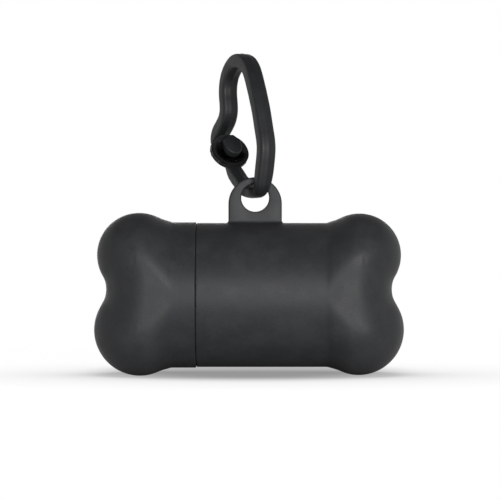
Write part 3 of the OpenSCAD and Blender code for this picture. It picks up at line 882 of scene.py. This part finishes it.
class DISPENSER_OT_knob(bpy.types.Operator):
    """Knob at the loop's free end: a round stem and a chamfered head that the ring snaps over"""
    bl_idname = "dispenser.knob"
    bl_label = "Knob"

    def execute(self, context):
        c = sizes("clip_sizes")
        front = c["ring_thickness"] / 2 + c["ring_play"]
        back, past = 4.2, 0.5
        stem = cylinder("knob_stem", c["stem_radius"], back + front + past, 48, (front + past - back) / 2)
        bevel(stem, 0.3, 3, 60)
        settle(stem, ring_frame(0))
        hand_over(smooth(stem), finish("clip_polypropylene"), "clip", "clip")
        head = cylinder("knob_head", 1, c["head_depth"], 64, c["head_depth"] / 2)
        half, up, down = c["head_width"] / 2, c["head_up"], c["head_down"]
        for v in head.data.vertices:
            a = math.atan2(v.co.y, v.co.x)
            x, y = math.cos(a), math.sin(a)
            if y > 0:
                # Flat top with two short chamfers, upright sides below them.
                k = min(half / max(abs(x), 1e-6), up / max(y, 1e-6))
                x, y = x * k, y * k
                over = abs(x) + y - (half + up - 1.7)
                if over > 0:
                    x, y = x - math.copysign(over / 2, x), y - over / 2
            else:
                x, y = x * half, y * half - (down - half) * abs(math.sin(a)) ** 0.5
            v.co.x, v.co.y = x * MM, y * MM
        bevel(head, 0.4, 4, 40)
        settle(head, ring_frame(front))
        hand_over(smooth(head, 40), finish("clip_polypropylene"), "clip", "clip")
        return {"FINISHED"}


class DISPENSER_OT_ring_arm(bpy.types.Operator):
    """Snap ring and its arm, which bends away from the loop at the thin lower end"""
    bl_idname = "dispenser.ring_arm"
    bl_label = "Ring and arm"

    def execute(self, context):
        c = sizes("clip_sizes")
        whole, shared = flowing(LOOP), 9
        line = np.concatenate([whole[:shared][::-1][:-1], flowing(ARM)])
        held = loop_measures(whole, c)[:shared][::-1]
        thick = min(c["arm_thickness"], held[-1][0])
        measures = []
        for i in range(len(line)):
            k = float(ease((i - 22) / 14))
            if i < len(held):
                measures.append(held[i])
            else:
                measures.append((thick - (thick - c["ring_thickness"] - 0.2) * k, held[-1][1] - 0.2))
        bar = swept_bar("ring_arm_bend", line, measures, c["corner"], c["parting"])
        ring = cylinder("snap_ring", c["ring_radius"], c["ring_thickness"], 96)
        bpy.ops.object.mode_set(mode="EDIT")
        bpy.ops.mesh.select_all(action="DESELECT")
        bpy.ops.object.mode_set(mode="OBJECT")
        for face in ring.data.polygons:
            face.select = abs(face.normal.z) > 0.9
        bpy.ops.object.mode_set(mode="EDIT")
        bpy.ops.mesh.inset(thickness=(c["ring_radius"] - c["ring_bore"]) * MM, use_individual=True)
        bpy.ops.mesh.bridge_edge_loops()
        bpy.ops.object.mode_set(mode="OBJECT")
        bevel(ring, 0.5, 4, 60)
        settle(ring, ring_frame(0))
        # A plug keeps the ring's hole clear of the arm's end.
        cut(bar, settle(cylinder("hole_plug", c["ring_bore"] + 0.15, 8, 96), ring_frame(0)))
        material = finish("clip_polypropylene")
        for obj in (smooth(bar, 50), smooth(ring)):
            hand_over(obj, material, None, "clip", *(["clip_ring_arm"] if obj is ring else []))
            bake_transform(obj)
        return {"FINISHED"}


# The roll

class DISPENSER_OT_roll(bpy.types.Operator):
    """Roll of bags with its loose end, the card tube, and the stub that it turns on"""
    bl_idname = "dispenser.roll"
    bl_label = "Bag roll"

    def execute(self, context):
        r, s = sizes("roll_sizes"), sizes("bone_sizes")
        bone = Bone(s)
        half = bone.shoulder - r["room"] / 2
        left, right = r["offset"] - half, r["offset"] + half
        outer, core = r["radius"], r["core_radius"]
        # The film's edges wander a little, and the last layer ends in a loose fold.
        turn = np.linspace(0, 2 * math.pi, 144, endpoint=False)
        fold = 0.22 * ease((turn - 0.6) / 0.12) * (1 - ease((turn - 3.6) / 2.4))
        steps = [(0.25 * (k % 2), core + 0.3 + (outer - 0.9 - core) * k / 12) for k in range(12)]
        profile = [(left, core + 0.06)]
        profile += [(left + deep, far) for deep, far in steps]
        profile += [(left + 0.15, outer - 0.5), (left + 0.5, outer - 0.3)]
        profile += [(x, outer - 0.25) for x in np.linspace(left + 1.5, right - 1.5, 24)]
        profile += [(right - 0.5, outer - 0.3), (right - 0.15, outer - 0.5)]
        profile += [(right - deep, far) for deep, far in reversed(steps)]
        profile += [(right, core + 0.06), (left, core + 0.06)]
        rings = turned_rings(profile, 144)
        far = np.hypot(rings[..., 1], rings[..., 2])
        dent = 0.05 * np.sin(rings[..., 0] * 0.55 + 3 * turn) + 0.04 * np.sin(rings[..., 0] * 1.3 - 5 * turn)
        grow = np.where(far > outer - 0.6, (fold + dent) / far, 0)
        rings[..., 1] *= 1 + grow
        rings[..., 2] *= 1 + grow
        bags = smooth(wrap("bag_film_roll", rings + BONE_AT), 45)
        hand_over(bags, finish("film_wound"), "roll", "film", "bag_roll")
        inner = core - r["core_wall"]
        tube = [(left, inner + 0.1), (left, core - 0.1), (left + 0.1, core), (right - 0.1, core),
                (right, core - 0.1), (right, inner + 0.1), (right - 0.1, inner), (left + 0.1, inner),
                (left, inner + 0.1)]
        hand_over(turned("card_tube", tube), finish("tube_card"), "roll", "card", "roll_core")
        head, hub = -bone.shoulder + r["stub_gap"], s["hub_radius"]
        boss, tip = -bone.shoulder, left + r["stub_in"]
        bulb, journal = r["bulb_radius"], r["journal_radius"]
        plug = [(boss - 4.8, 0), (boss - 4.8, bulb - 0.5), (boss - 4.3, bulb), (boss - 2.5, bulb),
                (boss - 2.5, journal), (head, journal), (head, hub - 0.3), (head + 0.3, hub),
                (tip - 0.5, hub), (tip, hub - 0.5), (tip, hub - 1.3),
                (tip - 0.3, hub - 1.6), (head + 2, hub - 1.6), (head + 2, 0)]
        hand_over(turned("stub_plug", plug), finish("stub_polypropylene"), "stub", "stub", "roll_stub")
        return {"FINISHED"}


# The studio, in metres and watts

# Each lamp's place from the aim point, its width, its height and its power.
LAMPS = {
    "key_softbox": ((0.16, -0.85, 0.03), 0.36, 0.3, 13),
    "back_fill": ((-0.1, 0.85, 0.1), 0.4, 0.3, 1.5),
}
# Lamplight fades out on the floor between these distances from the object.
LIT_TO, DARK_FROM = 0.1, 0.4
FLOOR_GREY = (0.1, 0.1, 0.1, 1)
# How far the object shades the floor, how steeply, the least light left there, and how much more of it
# the camera sees than gloss does.
SHADE_REACH, SHADE_POWER, LEAST, LEAST_SEEN = 0.07, 0.8, 0.04, 0.5
# Half width and half depth of the soft patch of shadow, how far its middle is behind the bone's, and
# the share of the light left in it.
PATCH_WIDE, PATCH_DEEP, PATCH_BEHIND, PATCH_SHARE = 0.049, 0.069, 0.0248, 0.55


class DISPENSER_OT_studio(bpy.types.Operator):
    """Pale floor and backdrop, soft lights and the camera"""
    bl_idname = "dispenser.studio"
    bl_label = "Studio"

    def execute(self, context):
        scene, st = context.scene, context.scene.studio
        scene.view_settings.view_transform = "Standard"
        aim = Vector((st.aim_x, BONE_AT[1] * MM, st.aim_z))
        away = Vector((0, -math.cos(st.elevation), math.sin(st.elevation)))
        camera = bpy.data.objects.new("camera", bpy.data.cameras.new("camera"))
        scene.collection.objects.link(camera)
        camera.location = aim + away * st.distance
        camera.rotation_euler = (-away).to_track_quat("-Z", "Y").to_euler()
        camera.data.lens = st.lens
        camera.data.clip_end = 20
        scene.camera = camera
        deselect()
        bpy.ops.mesh.primitive_plane_add(size=8, location=(aim.x, aim.y, CAD_BOX[0][2]))
        floor = settle(bpy.context.object)
        floor.name = floor.data.name = "floor"
        floor.data.materials.append(self.pale_floor(scene.finishes.floor))
        for name, settings in LAMPS.items():
            self.light(name, aim, *settings)
        self.surround()
        return {"FINISHED"}

    def light(self, name, aim, offset, wide, tall, watts):
        lamp = bpy.data.objects.new(name, bpy.data.lights.new(name, "AREA"))
        bpy.context.scene.collection.objects.link(lamp)
        lamp.data.shape, lamp.data.size, lamp.data.size_y = "RECTANGLE", wide, tall
        lamp.data.energy = watts
        lamp.location = aim + Vector(offset)
        lamp.rotation_euler = (-Vector(offset)).to_track_quat("-Z", "Y").to_euler()

    def seen_directly(self, tree):
        """1 for the camera's rays and for those that gloss and glass send on."""
        rays = node(tree, "ShaderNodeLightPath").outputs
        either = maths(tree, "MAXIMUM", rays["Is Camera Ray"], rays["Is Glossy Ray"])
        return maths(tree, "MAXIMUM", either, rays["Is Transmission Ray"])

    def pale_floor(self, hexes):
        """White card: it glows evenly for those rays, dimmed where the object covers it and behind it."""
        material, tree = new_material("pale_floor")
        middle = moved(tree, object_place(tree),
                       Location=(-BONE_AT[0] * MM, -BONE_AT[1] * MM, -CAD_BOX[0][2]))
        far = remap(tree, distance(tree, middle), LIT_TO, DARK_FROM)
        covered = node(tree, "ShaderNodeAmbientOcclusion", {"samples": 12}, Distance=SHADE_REACH)
        shade = maths(tree, "POWER", covered.outputs["AO"], SHADE_POWER)
        patch = moved(tree, middle, Location=(0, -PATCH_BEHIND / PATCH_DEEP, 0),
                      Scale=(1 / PATCH_WIDE, 1 / PATCH_DEEP, 0))
        reach = distance(tree, patch)
        patch_light = remap(tree, reach, 0.45, 1.05, PATCH_SHARE, 1.0, "SMOOTHSTEP")
        past = remap(tree, reach, 0.95, 1.9, way="SMOOTHSTEP")
        camera = node(tree, "ShaderNodeLightPath").outputs["Is Camera Ray"]
        least = maths(tree, "MULTIPLY_ADD", camera, LEAST_SEEN, LEAST)
        kept = maths(tree, "MAXIMUM", maths(tree, "MAXIMUM", shade, least), past)
        dimmed = maths(tree, "MULTIPLY", kept, patch_light)
        glowing = maths(tree, "MULTIPLY", remap(tree, far, 0.0, 1.0, 0.98, 1.0), dimmed)
        strength = maths(tree, "MULTIPLY", glowing, self.seen_directly(tree))
        glow = node(tree, "ShaderNodeEmission", Color=linear(hexes), Strength=strength)
        matt, unlit = (node(tree, "ShaderNodeBsdfDiffuse", Color=grey).outputs[0]
                       for grey in (FLOOR_GREY, (0, 0, 0, 1)))
        lit = node(tree, "ShaderNodeMixShader", i0=far, i1=matt, i2=unlit)
        both = node(tree, "ShaderNodeAddShader", i0=glow.outputs[0], i1=lit.outputs[0])
        node(tree, "ShaderNodeOutputMaterial", Surface=both.outputs[0])
        return material

    def surround(self):
        """White walls all round under a dim ceiling, and a dim even light."""
        world = bpy.context.scene.world or bpy.data.worlds.new("surround")
        bpy.context.scene.world = world
        world.use_nodes = True
        tree = world.node_tree
        tree.nodes.clear()
        way = node(tree, "ShaderNodeTexCoord").outputs["Generated"]
        height = node(tree, "ShaderNodeSeparateXYZ", Vector=way).outputs[2]
        wall = remap(tree, height, 0.2, 0.85, 1.0, 0.15, "SMOOTHSTEP")
        dim = node(tree, "ShaderNodeBackground", Color=(1, 1, 1, 1), Strength=0.03)
        white = node(tree, "ShaderNodeBackground", Color=(1, 1, 1, 1), Strength=wall)
        mixed = node(tree, "ShaderNodeMixShader", i0=self.seen_directly(tree), i1=dim.outputs[0],
                     i2=white.outputs[0])
        node(tree, "ShaderNodeOutputWorld", Surface=mixed.outputs[0])


OPERATORS = (
    DISPENSER_OT_case,
    DISPENSER_OT_threads,
    DISPENSER_OT_cap,
    DISPENSER_OT_tab,
    DISPENSER_OT_strap,
    DISPENSER_OT_knob,
    DISPENSER_OT_ring_arm,
    DISPENSER_OT_roll,
    DISPENSER_OT_studio,
)


class DISPENSER_PT_panel(bpy.types.Panel):
    """Buttons and sizes for the dispenser's pieces"""
    bl_idname = "DISPENSER_PT_panel"
    bl_label = "Bag Dispenser"
    bl_space_type = "VIEW_3D"
    bl_region_type = "UI"
    bl_category = "Bag Dispenser"

    def draw(self, context):
        for operator in OPERATORS:
            self.layout.operator(operator.bl_idname)
        for group, kind in GROUPS.items():
            box = self.layout.box()
            for key in kind.__annotations__:
                box.prop(getattr(context.scene, group), key)


def register():
    for group, kind in GROUPS.items():
        bpy.utils.register_class(kind)
        setattr(bpy.types.Scene, group, bpy.props.PointerProperty(type=kind))
    for kind in (*OPERATORS, DISPENSER_PT_panel):
        bpy.utils.register_class(kind)


def unregister():
    for kind in (DISPENSER_PT_panel, *reversed(OPERATORS)):
        bpy.utils.unregister_class(kind)
    for group, kind in GROUPS.items():
        delattr(bpy.types.Scene, group)
        bpy.utils.unregister_class(kind)


def main():
    register()
    for operator in OPERATORS:
        group, name = operator.bl_idname.split(".")
        getattr(getattr(bpy.ops, group), name)()
    deselect()


if __name__ == "__main__":
    main()
